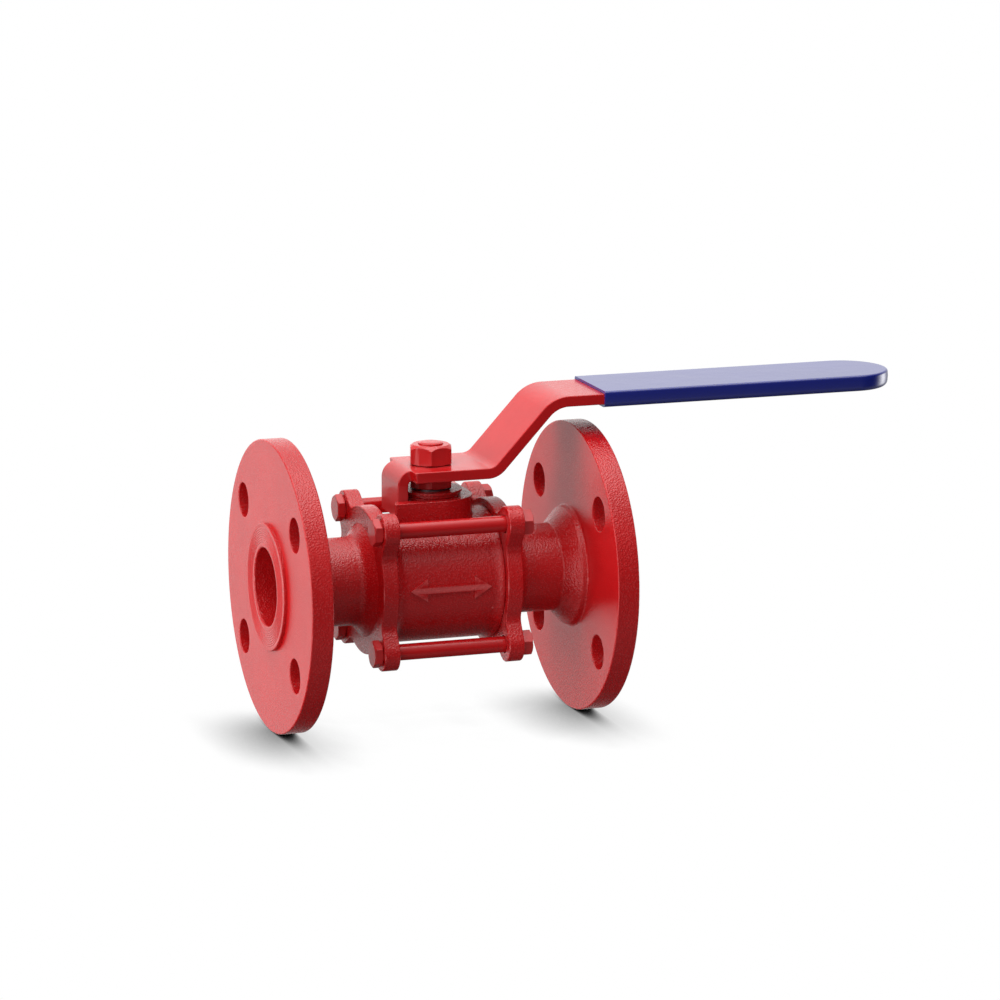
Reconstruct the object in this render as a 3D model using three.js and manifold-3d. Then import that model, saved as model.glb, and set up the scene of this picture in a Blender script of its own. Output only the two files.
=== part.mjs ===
// Three-piece flanged ball valve, 1 inch size, with a cranked lever that turns a quarter turn.
// Millimetres, +Z up. The pipe runs along X and the stem stands along Z.
// Every piece is built where it sits in the open valve, measured from the centre of the ball.
// The exported group then moves the whole valve so that its origin lies under the middle of
// its bounding box, on the plane that the two flange rims stand on.

import * as THREE from 'three';
import { mergeVertices } from 'three/addons/utils/BufferGeometryUtils.js';
import Module from 'manifold-3d';

const wasm = await Module();
wasm.setup();

// ---------------------------------------------------------------- driving dimensions

const seam = 0.05;                 // between faces that touch in the assembled valve

const sides = { rim: 40, turned: 24, bolt: 12 };     // facets round a circle

const flange = {
  radius: 54,                      // over the flats of the rim
  thickness: 8.3,
  front: 62.1,                     // front plane, from the ball's centre
  raisedRadius: 23.5,
  raisedHeight: 1.4,
  holeRadius: 6.35,
  holeY: 32.4,
  holeZ: 25.9,
};
const neck = {
  radius: 16.3,
  coneRadius: 21,                  // the cone that grows out of the cap plate
  coneTop: { radius: 17, x: 30.3 },
  start: 32.5,                     // where the cone has run out into the neck
  hubStart: 46.3,
  hubShoulder: 51.6,
  hubShoulderRadius: 21.8,
  hubRadius: 22.4,
};
const plate = {                    // the cap's clamping plate, with an ear for each tie bolt
  inner: 20.9,
  outer: 26.8,
  radius: 27.4,
  earRadius: 6.5,
  earLean: Math.PI * 12.8 / 180,   // of the ear's flanks towards its tip
  filletRadius: 4,
  holeRadius: 3.3,
};
const bore = { radius: 12.7, mouthRadius: 14.4, taperStart: 38, taperEnd: 45 };
const spigot = { radius: 19.9, nose: 13.5, pocketRadius: 17.4, pocketEnd: 18.8 };
const seat = { inner: 12.7, outer: 17.1, front: 11, back: 18.5, sphere: 19.15 };

const body = {
  radius: 23.7,
  halfLength: 20.8,
  flareStart: 17.4,                // where the barrel begins to swell into its two end rims
  rimStart: 19.8,
  rimRadius: 24.7,
  edge: 0.4,
  cavity: 20.2,
  sealRadius: 22.1,
  sealStart: 19.6,
};
const bodySeal = { inner: 20.5, outer: 21.9, start: 19.7, end: 20.8 };
const pad = {                      // raised deck round the stem, with a stop shoulder at each end
  root: 10,
  top: 30.8,
  radius: 15.2,
  coreRadius: 11.2,                // where the lever's tab sweeps past
  stopInner: 10.4,
  stopEnd: 18.7,
  stopTaper: 1.8,                  // the left stop's end leans back by this much
};
const mark = { halfLength: 15.5, headLength: 6, headHalf: 4.2, barHalf: 1.3, back: 21, front: 24.4 };

const ball = { radius: 19, port: 12.5, slotHalfWidth: 3.5, slotHalfLength: 8, slotFloor: 15.2 };
const tang = { halfX: 3.2, halfY: 6.5, bottom: 15.5 };
const stem = {
  radius: 5,
  collarRadius: 7.5,
  collarBottom: 19.6,
  collarTop: 21.6,
  flatHalf: 4.35,
  flatStart: 37.9,
  threadStart: 41.9,
  threadRadius: 4.5,
  shoulder: 49.7,
  crownRadius: 3.8,
  top: 50.2,
};
const stemHole = { radius: 5.25, pocketRadius: 7.9, pocketTop: 22.8, boxRadius: 7.7, boxFloor: 24.6 };
const packing = { inner: 5.2, outer: 7.5, height: 1.85, count: 3 };
const thrustWasherRadius = 7.4;
const gland = {
  inner: 5.3,
  noseRadius: 7.4,
  nose: 30.5,
  shoulderRadius: 11,
  shoulderTop: 32.1,
  radius: 11.6,
  top: 32.95,
  recessRadius: 7.5,
  recessFloor: 32,
};
const disc = { inner: 5.4, outer: 7.3, thickness: 0.4, cone: 0.2, count: 2, pitch: 0.65 };
const stemNut = { acrossFlats: 15, chamfer: 1.4, turn: Math.PI * 13.5 / 180 };
const glandNut = { bottom: 33.35, top: 37.95, bore: 5.15 };
const handleNut = { bottom: 42.05, top: 49.4, bore: 4.65 };

const lever = {
  thickness: 4,
  halfWidth: 15.5,
  tabHalf: 10.1,
  tabX: -13.8,                     // middle of the plate's thickness in the bent-down tab
  tabBottom: 24.4,
  wideStart: -10.7,
  deckZ: 40,                       // middle of the thickness over the stem
  gripZ: 65,                       // and along the grip
  crankStart: 20.2,                // where the middle lines of deck and crank cross
  crankEnd: 43.2,
  tip: 179.3,
  tabBend: 3.75,
  deckBend: 7,
  gripBend: 11.8,
  holeRadius: 5.15,
  holeFlat: 4.5,
};
const sleeve = { start: 62, wall: 0.95, clearance: 0.1, edge: 1.4 };

const bolt = {
  y: 22.6,
  z: 22.6,
  radius: 3,
  acrossFlats: 9,
  chamfer: 0.8,
  head: 3.2,
  nut: 4,
  nutTurn: Math.PI * 16 / 180,     // as the nuts were left when tightened
  bore: 3.15,
};
const corners = [[-1, 1], [-1, -1], [1, 1], [1, -1]];   // signs of Y and Z

const red = { color: 0xb3171b, roughness: 0.45, metalness: 0.1 };
const blue = { color: 0x1c2378, roughness: 0.2, metalness: 0 };
const steel = { color: 0xb9bcc0, roughness: 0.25, metalness: 0.9 };
const springSteel = { color: 0x6f7276, roughness: 0.4, metalness: 0.8 };
const white = { color: 0xe6e6e0, roughness: 0.6, metalness: 0 };

// ---------------------------------------------------------------- solids

const quarterTurn = Math.PI / 2;
const alongX = new THREE.Matrix4().makeRotationZ(-quarterTurn);
const alongZ = new THREE.Matrix4().makeRotationX(quarterTurn);
const planToX = new THREE.Matrix4().makeBasis(
  new THREE.Vector3(0, 1, 0),
  new THREE.Vector3(0, 0, 1),
  new THREE.Vector3(1, 0, 0),
);
const planToFront = new THREE.Matrix4().makeBasis(
  new THREE.Vector3(1, 0, 0),
  new THREE.Vector3(0, 0, 1),
  new THREE.Vector3(0, -1, 0),
);

// Triangles with the normals and texture coordinates dropped and the shared corners merged.
function welded(geometry) {
  const bare = geometry.clone();
  bare.deleteAttribute('normal');
  bare.deleteAttribute('uv');
  const merged = mergeVertices(bare);
  const indices = merged.index.array;
  const kept = [];
  for (let i = 0; i < indices.length; i += 3) {
    const [a, b, c] = [indices[i], indices[i + 1], indices[i + 2]];
    if (a !== b && b !== c && c !== a) kept.push(a, b, c);
  }
  merged.setIndex(kept);
  return merged;
}

function signedVolume(geometry) {
  const place = geometry.attributes.position;
  const [a, b, c] = [new THREE.Vector3(), new THREE.Vector3(), new THREE.Vector3()];
  let sum = 0;
  for (let i = 0; i < geometry.index.count; i += 3) {
    a.fromBufferAttribute(place, geometry.index.getX(i));
    b.fromBufferAttribute(place, geometry.index.getX(i + 1));
    c.fromBufferAttribute(place, geometry.index.getX(i + 2));
    sum += a.dot(b.cross(c)) / 6;
  }
  return sum;
}

// A closed geometry as a solid, with its faces turned outwards.
function solid(geometry, matrix) {
  const shape = welded(geometry);
  if (matrix) shape.applyMatrix4(matrix);
  const indices = Uint32Array.from(shape.index.array);
  if (signedVolume(shape) < 0) indices.reverse();
  return new wasm.Manifold(new wasm.Mesh({
    numProp: 3,
    vertProperties: Float32Array.from(shape.attributes.position.array),
    triVerts: indices,
  }));
}

function geometryOf(shape) {
  const mesh = shape.getMesh();
  const geometry = new THREE.BufferGeometry();
  geometry.setAttribute('position', new THREE.Float32BufferAttribute(mesh.vertProperties, 3));
  geometry.setIndex(Array.from(mesh.triVerts));
  geometry.computeVertexNormals();
  return geometry;
}

const joined = (first, ...others) => others.reduce((whole, part) => whole.add(part), first);
const cut = (first, ...tools) => tools.reduce((whole, tool) => whole.subtract(tool), first);

// A turned solid: the profile is a list of [radius, distance along the axis].
function turned(profile, axis, count = sides.turned) {
  const points = profile.map(([radius, along]) => new THREE.Vector2(radius, along));
  return solid(new THREE.LatheGeometry(points, count, Math.PI / count), axis);
}

const rod = (radius, from, to, axis, count) => turned(
  [[0, from], [radius, from], [radius, to], [0, to]], axis, count);

const tube = (inner, outer, from, to, axis, count) => turned(
  [[inner, from], [outer, from], [outer, to], [inner, to], [inner, from]], axis, count);

function box(x, y, z) {
  const geometry = new THREE.BoxGeometry(x[1] - x[0], y[1] - y[0], z[1] - z[0]);
  geometry.translate((x[0] + x[1]) / 2, (y[0] + y[1]) / 2, (z[0] + z[1]) / 2);
  return solid(geometry);
}

function moved(shape, x, y, z) {
  return shape.translate([x, y, z]);
}

function arc(x, y, radius, from, to, steps) {
  return Array.from({ length: steps + 1 }, (_, i) => {
    const angle = from + (to - from) * i / steps;
    return new THREE.Vector2(x + radius * Math.cos(angle), y + radius * Math.sin(angle));
  });
}

// A plate of the given outline, from one distance to the other along its own normal.
function extruded(outline, from, to, matrix) {
  const points = outline.filter((point, i) => i === 0 || point.distanceTo(outline[i - 1]) > 1e-4);
  const geometry = new THREE.ExtrudeGeometry(new THREE.Shape(points), {
    depth: to - from,
    bevelEnabled: false,
  });
  geometry.translate(0, 0, from);
  return solid(geometry, matrix);
}

// A hexagon with both ends chamfered like a nut's, along Z or X. The turn is the angle of one
// corner from the +X side of a piece that stands along Z, or the +Y side of one along X.
function hexagon(acrossFlats, from, to, chamfer, axis, turn) {
  const flat = acrossFlats / 2;
  const corner = flat / Math.cos(Math.PI / 6);
  const lead = 0.1;                // from the chamfer's inner ring to the flats
  const prism = solid(new THREE.CylinderGeometry(corner, corner, to - from, 6)
    .rotateY(turn - Math.PI / 6)
    .translate(0, (from + to) / 2, 0), axis);
  const rounds = turned([
    [0, from],
    [flat - lead, from],
    [corner + lead, from + chamfer],
    [corner + lead, to - chamfer],
    [flat - lead, to],
    [0, to],
  ], axis, sides.turned);
  return prism.intersect(rounds);
}

// ---------------------------------------------------------------- castings

// Round plate with four ears, each joined to the round by straight flanks and hollow fillets.
function capOutline() {
  const { radius, earRadius, earLean, filletRadius } = plate;
  const reach = Math.hypot(bolt.y, bolt.z);
  const flank = reach * Math.sin(earLean) + earRadius;      // its distance from the centre
  const away = radius + filletRadius;
  const swing = quarterTurn - earLean - Math.acos((flank + filletRadius) / away);
  const [hx, hy] = [away * Math.cos(swing), away * Math.sin(swing)];
  const ear = [
    ...arc(hx, -hy, filletRadius, Math.PI - swing, quarterTurn + earLean, 3),
    ...arc(reach, 0, earRadius, earLean - quarterTurn, quarterTurn - earLean, 8),
    ...arc(hx, hy, filletRadius, 3 * quarterTurn - earLean, Math.PI + swing, 3),
  ];
  const direction = Math.atan2(bolt.z, bolt.y);
  const directions = [direction, Math.PI - direction, Math.PI + direction, 2 * Math.PI - direction];
  const centre = new THREE.Vector2();
  return directions.flatMap((angle, i) => {
    const next = i < 3 ? directions[i + 1] : directions[0] + 2 * Math.PI;
    const turnedEar = ear.map((point) => point.clone().rotateAround(centre, angle));
    const round = arc(0, 0, radius, angle + swing, next - swing, 3);
    return [...turnedEar, ...round.slice(1, -1)];
  });
}

// End cap, neck and flange in one casting, on the +X side of the ball.
function endCap() {
  const rim = flange.radius / Math.cos(Math.PI / sides.rim);
  const back = flange.front - flange.thickness;
  const face = flange.front + flange.raisedHeight;
  const middle = (plate.inner + plate.outer) / 2;
  const casting = turned([
    [spigot.pocketRadius, spigot.nose],
    [spigot.radius, spigot.nose],
    [spigot.radius, middle],
    [neck.coneRadius, middle],
    [neck.coneRadius, plate.outer],
    [neck.coneTop.radius, neck.coneTop.x],
    [neck.radius, neck.start],
    [neck.radius, neck.hubStart],
    [neck.hubShoulderRadius, neck.hubShoulder],
    [neck.hubRadius, back],
    [rim, back],
    [rim, flange.front],
    [flange.raisedRadius, flange.front],
    [flange.raisedRadius, face],
    [bore.mouthRadius, face],
    [bore.mouthRadius, bore.taperEnd],
    [bore.radius, bore.taperStart],
    [bore.radius, spigot.pocketEnd],
    [spigot.pocketRadius, spigot.pocketEnd],
    [spigot.pocketRadius, spigot.nose],
  ], alongX, sides.rim);
  const clampPlate = cut(
    extruded(capOutline(), plate.inner, plate.outer, planToX),
    rod((spigot.radius + bore.radius) / 2, plate.inner - 1, plate.outer + 1, alongX, sides.rim),
  );
  const holes = [];
  for (const [sideY, sideZ] of corners) {
    holes.push(moved(rod(plate.holeRadius, plate.inner - 1, plate.outer + 1, alongX, sides.bolt),
      0, sideY * bolt.y, sideZ * bolt.z));
    holes.push(moved(rod(flange.holeRadius, back - 1, flange.front + 1, alongX, sides.turned),
      0, sideY * flange.holeY, sideZ * flange.holeZ));
  }
  return cut(joined(casting, clampPlate), ...holes);
}

// Deck round the stem: full round towards the front and right, cut back where the tab sweeps.
function padOutline() {
  const inset = Math.sqrt(pad.coreRadius ** 2 - pad.stopInner ** 2);
  const start = Math.atan2(inset, pad.stopInner);
  const end = Math.PI * 1.5 - start;
  return [
    new THREE.Vector2(-pad.stopEnd, -pad.radius),
    ...arc(0, 0, pad.radius, -quarterTurn, 0, 8),
    new THREE.Vector2(pad.radius, pad.stopEnd),
    new THREE.Vector2(pad.stopInner, pad.stopEnd),
    ...arc(0, 0, pad.coreRadius, start, end, 14),
    new THREE.Vector2(pad.stopTaper - pad.stopEnd, -pad.stopInner),
  ];
}

// Double-headed arrow, the usual cast sign of a valve that passes flow both ways.
function markOutline() {
  const neckX = mark.halfLength - mark.headLength;
  const right = [
    [neckX, -mark.barHalf],
    [neckX, -mark.headHalf],
    [mark.halfLength, 0],
    [neckX, mark.headHalf],
    [neckX, mark.barHalf],
  ];
  const left = right.map(([x, y]) => [-x, -y]);
  return [...right, ...left].map(([x, y]) => new THREE.Vector2(x, y));
}

function valveBody() {
  const { radius, halfLength, edge, flareStart, rimStart, rimRadius } = body;
  const rightHalf = [
    [radius, flareStart],
    [rimRadius, rimStart],
    [rimRadius, halfLength - edge],
    [rimRadius - edge, halfLength],
    [0, halfLength],
  ];
  const leftHalf = rightHalf.map(([r, x]) => [r, -x]).reverse();
  const barrel = turned([...leftHalf, ...rightHalf], alongX, sides.rim);
  const cavity = turned([
    [0, -halfLength - 1],
    [body.sealRadius, -halfLength - 1],
    [body.sealRadius, -body.sealStart],
    [body.cavity, -body.sealStart],
    [body.cavity, body.sealStart],
    [body.sealRadius, body.sealStart],
    [body.sealRadius, halfLength + 1],
    [0, halfLength + 1],
  ], alongX, sides.rim);
  const stemPassage = turned([
    [0, 0],
    [stemHole.pocketRadius, 0],
    [stemHole.pocketRadius, stemHole.pocketTop],
    [stemHole.radius, stemHole.pocketTop],
    [stemHole.radius, stemHole.boxFloor],
    [stemHole.boxRadius, stemHole.boxFloor],
    [stemHole.boxRadius, pad.top + 1],
    [0, pad.top + 1],
  ], alongZ);
  return cut(
    joined(
      barrel,
      extruded(padOutline(), pad.root, pad.top),
      extruded(markOutline(), mark.back, mark.front, planToFront),
    ),
    cavity,
    stemPassage,
  );
}

// ---------------------------------------------------------------- ball, stem and seals

function ballWithPort() {
  const sphere = solid(new THREE.SphereGeometry(ball.radius, sides.turned, sides.turned / 2));
  const port = rod(ball.port, -ball.radius - 1, ball.radius + 1, alongX);
  const slot = box(
    [-ball.slotHalfWidth, ball.slotHalfWidth],
    [-ball.slotHalfLength, ball.slotHalfLength],
    [ball.slotFloor, ball.radius + 1],
  );
  return cut(sphere, port, slot);
}

// Seat on the +X side: a ring whose front edge is hollowed to the ball.
function seatRing() {
  const outerAngle = Math.acos(seat.front / seat.sphere);
  const innerAngle = Math.asin(seat.inner / seat.sphere);
  const hollow = arc(0, 0, seat.sphere, innerAngle, outerAngle, 4).map(({ x, y }) => [y, x]);
  return turned([
    ...hollow,
    [seat.outer, seat.front],
    [seat.outer, seat.back],
    [seat.inner, seat.back],
    hollow[0],
  ], alongX);
}

function valveStem() {
  const spindle = turned([
    [0, stem.collarBottom],
    [stem.collarRadius, stem.collarBottom],
    [stem.collarRadius, stem.collarTop],
    [stem.radius, stem.collarTop],
    [stem.radius, stem.threadStart],
    [stem.threadRadius, stem.threadStart],
    [stem.threadRadius, stem.shoulder],
    [stem.crownRadius, stem.top],
    [0, stem.top],
  ], alongZ, sides.turned);
  const drive = box(
    [-tang.halfX, tang.halfX],
    [-tang.halfY, tang.halfY],
    [tang.bottom, stem.collarBottom + 1],
  );
  const waste = [-1, 1].map((side) => box(
    [-stem.radius - 1, stem.radius + 1],
    [stem.flatHalf, stem.radius + 1].map((y) => side * y).sort((a, b) => a - b),
    [stem.flatStart, stem.threadStart + 1],
  ));
  return cut(joined(spindle, drive), ...waste);
}

function glandRing() {
  return turned([
    [gland.inner, gland.nose],
    [gland.noseRadius, gland.nose],
    [gland.noseRadius, pad.top + seam],
    [gland.shoulderRadius, pad.top + seam],
    [gland.shoulderRadius, gland.shoulderTop],
    [gland.radius, gland.shoulderTop],
    [gland.radius, gland.top],
    [gland.recessRadius, gland.top],
    [gland.recessRadius, gland.recessFloor],
    [gland.inner, gland.recessFloor],
    [gland.inner, gland.nose],
  ], alongZ);
}

// Coned spring washers, stacked back to back in the gland's recess.
function discSpring(index) {
  const rise = index % 2 === 0 ? disc.cone : -disc.cone;
  const bottom = gland.recessFloor + seam + index * disc.pitch;
  const innerBottom = bottom + Math.max(rise, 0);
  const outerBottom = bottom + Math.max(-rise, 0);
  return turned([
    [disc.inner, innerBottom],
    [disc.outer, outerBottom],
    [disc.outer, outerBottom + disc.thickness],
    [disc.inner, innerBottom + disc.thickness],
    [disc.inner, innerBottom],
  ], alongZ);
}

function packingRing(index) {
  const bottom = stemHole.boxFloor + seam + index * (packing.height + seam);
  return tube(packing.inner, packing.outer, bottom, bottom + packing.height, alongZ);
}

function nut({ bottom, top, bore: hole }) {
  const { acrossFlats, chamfer, turn } = stemNut;
  return cut(
    hexagon(acrossFlats, bottom, top, chamfer, alongZ, turn),
    rod(hole, bottom - 1, top + 1, alongZ),
  );
}

// ---------------------------------------------------------------- lever

// Side outline, in X and Z, of a strip that runs through the corners with a bend at each.
function stripOutline(corners2d, bends, thickness) {
  const points = corners2d.map(([x, z]) => new THREE.Vector2(x, z));
  const side = (offset) => {
    const outline = [];
    for (let i = 0; i < points.length; i++) {
      const into = points[Math.max(i, 1)].clone().sub(points[Math.max(i, 1) - 1]).normalize();
      const left = new THREE.Vector2(-into.y, into.x);
      if (i === 0 || i === points.length - 1) {
        outline.push(points[i].clone().addScaledVector(left, offset));
        continue;
      }
      const out = points[i + 1].clone().sub(points[i]).normalize();
      const turn = Math.atan2(into.cross(out), into.dot(out));
      const sign = Math.sign(turn);
      const radius = bends[i - 1];
      const centre = points[i].clone()
        .addScaledVector(into, -radius * Math.tan(Math.abs(turn) / 2))
        .addScaledVector(left, sign * radius);
      const from = Math.atan2(-sign * left.y, -sign * left.x);
      outline.push(...arc(centre.x, centre.y, radius - sign * offset, from, from + turn, 6));
    }
    return outline;
  };
  return [...side(-thickness / 2), ...side(thickness / 2).reverse()];
}

// Plan outline of the lever: narrow tab, wide blade, round tip.
function leverPlan() {
  const { halfWidth, tabHalf, wideStart, tip } = lever;
  return [
    new THREE.Vector2(lever.tabX - lever.thickness, -tabHalf),
    new THREE.Vector2(wideStart, -tabHalf),
    new THREE.Vector2(wideStart, -halfWidth),
    ...arc(tip - halfWidth, 0, halfWidth, -quarterTurn, quarterTurn, 16),
    new THREE.Vector2(wideStart, halfWidth),
    new THREE.Vector2(wideStart, tabHalf),
    new THREE.Vector2(lever.tabX - lever.thickness, tabHalf),
  ];
}

function handleLever() {
  const strip = extruded(stripOutline([
    [lever.tabX, lever.tabBottom],
    [lever.tabX, lever.deckZ],
    [lever.crankStart, lever.deckZ],
    [lever.crankEnd, lever.gripZ],
    [lever.tip, lever.gripZ],
  ], [lever.tabBend, lever.deckBend, lever.gripBend], lever.thickness),
  -lever.halfWidth - 1, lever.halfWidth + 1, planToFront);
  const blank = extruded(leverPlan(), 0, lever.gripZ + lever.thickness);
  const hole = rod(lever.holeRadius, lever.deckZ - lever.thickness,
    lever.deckZ + lever.thickness, alongZ, sides.turned)
    .intersect(box([-lever.halfWidth, lever.halfWidth], [-lever.holeFlat, lever.holeFlat],
      [0, lever.gripZ]));
  return cut(strip.intersect(blank), hole);
}

// Outline of the grip, the given distance outside the lever's own edge.
function gripPlan(start, growth) {
  const half = lever.halfWidth + growth;
  return [
    new THREE.Vector2(start, -half),
    ...arc(lever.tip - lever.halfWidth, 0, half, -quarterTurn, quarterTurn, 16),
    new THREE.Vector2(start, half),
  ];
}

function handleSleeve() {
  const outer = sleeve.wall + sleeve.clearance;
  const halfHeight = lever.thickness / 2 + outer;
  const shell = new THREE.ExtrudeGeometry(new THREE.Shape(gripPlan(sleeve.start, outer)), {
    depth: 2 * (halfHeight - sleeve.edge),
    bevelThickness: sleeve.edge,
    bevelSize: sleeve.edge,
    bevelOffset: -sleeve.edge,
    bevelSegments: 3,
  });
  shell.translate(0, 0, lever.gripZ - halfHeight + sleeve.edge);
  const inside = lever.thickness / 2 + sleeve.clearance;
  const core = extruded(gripPlan(sleeve.start - sleeve.edge - 1, sleeve.clearance),
    lever.gripZ - inside, lever.gripZ + inside);
  return cut(solid(shell), core);
}

// ---------------------------------------------------------------- tie bolts

function tieBolt(sideY, sideZ) {
  const under = -plate.outer - seam;
  const end = plate.outer + seam + bolt.nut;
  const cornersUp = Math.PI / 6;
  const head = hexagon(bolt.acrossFlats, under - bolt.head, under, bolt.chamfer, alongX, cornersUp);
  const shank = rod(bolt.radius, under - 1, end, alongX, sides.bolt);
  return moved(joined(head, shank), 0, sideY * bolt.y, sideZ * bolt.z);
}

function tieNut(sideY, sideZ) {
  const start = plate.outer + seam;
  const blank = hexagon(bolt.acrossFlats, start, start + bolt.nut, bolt.chamfer, alongX,
    sideY * bolt.nutTurn);
  const thread = rod(bolt.bore, start - 1, start + bolt.nut + 1, alongX, sides.bolt);
  return moved(cut(blank, thread), 0, sideY * bolt.y, sideZ * bolt.z);
}

// ---------------------------------------------------------------- assembly

const valve = new THREE.Group();

function place(name, shape, look, turn = 0) {
  const mesh = new THREE.Mesh(geometryOf(shape), new THREE.MeshStandardMaterial(look));
  mesh.name = name;
  mesh.rotation.z = turn;
  valve.add(mesh);
}

const ends = [['right', 0], ['left', Math.PI]];         // the left end is the right one turned

place('valve_body', valveBody(), red);
for (const [end, turn] of ends) {
  place(`end_cap_${end}`, endCap(), red, turn);
  place(`seat_ring_${end}`, seatRing(), white, turn);
  place(`body_seal_${end}`,
    tube(bodySeal.inner, bodySeal.outer, bodySeal.start, bodySeal.end, alongX),
    white, turn);
}
place('ball', ballWithPort(), steel);
place('stem', valveStem(), red);
place('thrust_washer', tube(packing.inner, thrustWasherRadius,
  stem.collarTop + seam, stemHole.pocketTop - seam, alongZ), white);
for (let i = 0; i < packing.count; i++) place(`packing_ring_${i + 1}`, packingRing(i), white);
place('gland', glandRing(), red);
for (let i = 0; i < disc.count; i++) place(`disc_spring_${i + 1}`, discSpring(i), springSteel);
place('gland_nut', nut(glandNut), red);
place('handle_lever', handleLever(), red);
place('handle_sleeve', handleSleeve(), blue);
place('handle_nut', nut(handleNut), red);
corners.forEach(([sideY, sideZ], i) => {
  place(`tie_bolt_${i + 1}`, tieBolt(sideY, sideZ), red);
  place(`tie_nut_${i + 1}`, tieNut(sideY, sideZ), red);
});

const leftEnd = -flange.front - flange.raisedHeight;
const rightEnd = lever.tip + sleeve.clearance + sleeve.wall;
valve.position.set(-(leftEnd + rightEnd) / 2, 0, flange.radius);

export default valve;
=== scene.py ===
import math

import bmesh
import bpy
from mathutils import Matrix, Vector


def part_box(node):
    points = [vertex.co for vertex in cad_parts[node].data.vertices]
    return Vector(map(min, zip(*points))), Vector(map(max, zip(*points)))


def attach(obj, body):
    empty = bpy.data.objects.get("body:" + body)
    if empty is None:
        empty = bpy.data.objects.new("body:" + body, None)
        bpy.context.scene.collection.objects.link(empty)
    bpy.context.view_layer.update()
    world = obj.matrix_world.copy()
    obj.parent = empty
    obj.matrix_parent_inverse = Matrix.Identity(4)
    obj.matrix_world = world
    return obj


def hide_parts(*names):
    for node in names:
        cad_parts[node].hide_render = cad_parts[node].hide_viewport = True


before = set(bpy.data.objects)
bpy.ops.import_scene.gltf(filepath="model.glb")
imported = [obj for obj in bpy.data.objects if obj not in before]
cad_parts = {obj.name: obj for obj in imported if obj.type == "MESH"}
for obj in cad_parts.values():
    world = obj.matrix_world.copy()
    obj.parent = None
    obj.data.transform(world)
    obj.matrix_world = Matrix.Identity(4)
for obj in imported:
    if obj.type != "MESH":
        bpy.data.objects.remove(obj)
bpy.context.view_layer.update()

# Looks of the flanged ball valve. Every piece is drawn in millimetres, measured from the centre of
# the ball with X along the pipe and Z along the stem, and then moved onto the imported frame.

# ------------------------------------------------------------------ sizes, in millimetres

MM = 0.001
left_low, left_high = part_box("end_cap_left")
right_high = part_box("end_cap_right")[1]
CENTRE = (left_low + right_high) / 2                      # the ball's centre, in metres

FACE_X = (right_high.x - left_low.x) / 2 / MM             # raised face
FLANGE_RADIUS = (left_high.z - left_low.z) / 2 / MM
RAISED_HEIGHT = 1.4
FLANGE_FRONT = FACE_X - RAISED_HEIGHT
FLANGE_THICKNESS = 8.3
FLANGE_BACK = FLANGE_FRONT - FLANGE_THICKNESS
RAISED_RADIUS = 23.5
HOLE_RADIUS = 6.35
HOLE_Y, HOLE_Z = 32.4, 25.9
CONE_RADIUS, CONE_END = 21.0, 30.7                        # where the neck grows out of the plate
NECK_RADIUS, HUB_RADIUS = 16.3, 22.0
HUB_START, HUB_END = 46.3, 51.8
BORE_RADIUS, BORE_MOUTH = 12.7, 14.4
TAPER_START, TAPER_END = 38.0, 45.0                       # where the bore widens to its mouth
CORE_RADIUS = 6.0                                         # of a turned blank, bored out later

PLATE_IN, PLATE_OUT = 20.9, 26.8
PLATE_RADIUS, EAR_RADIUS, EAR_HOLLOW = 27.4, 6.5, 4.0
TIE_HOLE = 3.3
EAR_LEAN = math.radians(12.8)                             # of the ear's flanks towards its tip
SPIGOT_RADIUS, SPIGOT_NOSE = 19.9, 13.5
SEAT_POCKET, SEAT_POCKET_END = 17.4, 18.8

BARREL_RADIUS, BARREL_HALF = 23.7, 20.8
RIM_RADIUS, RIM_START, RIM_EDGE = 24.7, 19.7, 0.3         # the barrel's two end rims
RIM_SWELL = 1.4                                           # length of the swelling into each rim
CAST_VOXEL, CAST_SMOOTHING = 0.4, 4                       # of the remesh that softens the casting
MARK_RADIUS = 24.5                                        # over the raised arrow
CAVITY_RADIUS, SEAL_RADIUS, SEAL_START = 20.2, 22.1, 19.6
PAD_TOP, PAD_RADIUS, PAD_CORE, PAD_CORNER = 30.8, 15.2, 11.2, 0.5
STOP_INNER, STOP_END, STOP_TAPER = 10.4, 18.7, 1.8
POCKET_RADIUS, POCKET_TOP = 7.9, 22.8                     # round the stem's collar
STEM_HOLE, BOX_RADIUS, BOX_FLOOR = 5.25, 7.7, 24.6        # the box holds the packing rings

BALL_RADIUS, PORT_RADIUS = 19.0, 12.5
SLOT_X, SLOT_Y, SLOT_FLOOR = 3.5, 8.0, 15.2               # half sizes, as are the tang's
TANG_X, TANG_Y, TANG_BOTTOM = 3.2, 6.5, 15.5
COLLAR_RADIUS, COLLAR_BOTTOM, COLLAR_TOP = 7.5, 19.6, 21.6
STEM_RADIUS, THREAD_RADIUS, THREAD_START, STEM_TOP = 5.0, 4.5, 41.9, 50.2
GLAND_INNER, GLAND_NOSE, GLAND_BOTTOM = 5.3, 7.4, 30.5
GLAND_SHOULDER, SHOULDER_TOP = 11.0, 32.1
GLAND_RADIUS, GLAND_TOP = 11.6, 32.95
RECESS_RADIUS, RECESS_FLOOR = 7.5, 32.0                   # for the disc springs
SPRING_INNER, SPRING_OUTER, SPRING_THICK = 5.4, 7.3, 0.4
SPRING_CONE, SPRING_PITCH = 0.2, 0.65
STEM_NUT, TIE_NUT = 15.0, 9.0                             # across the flats

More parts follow.
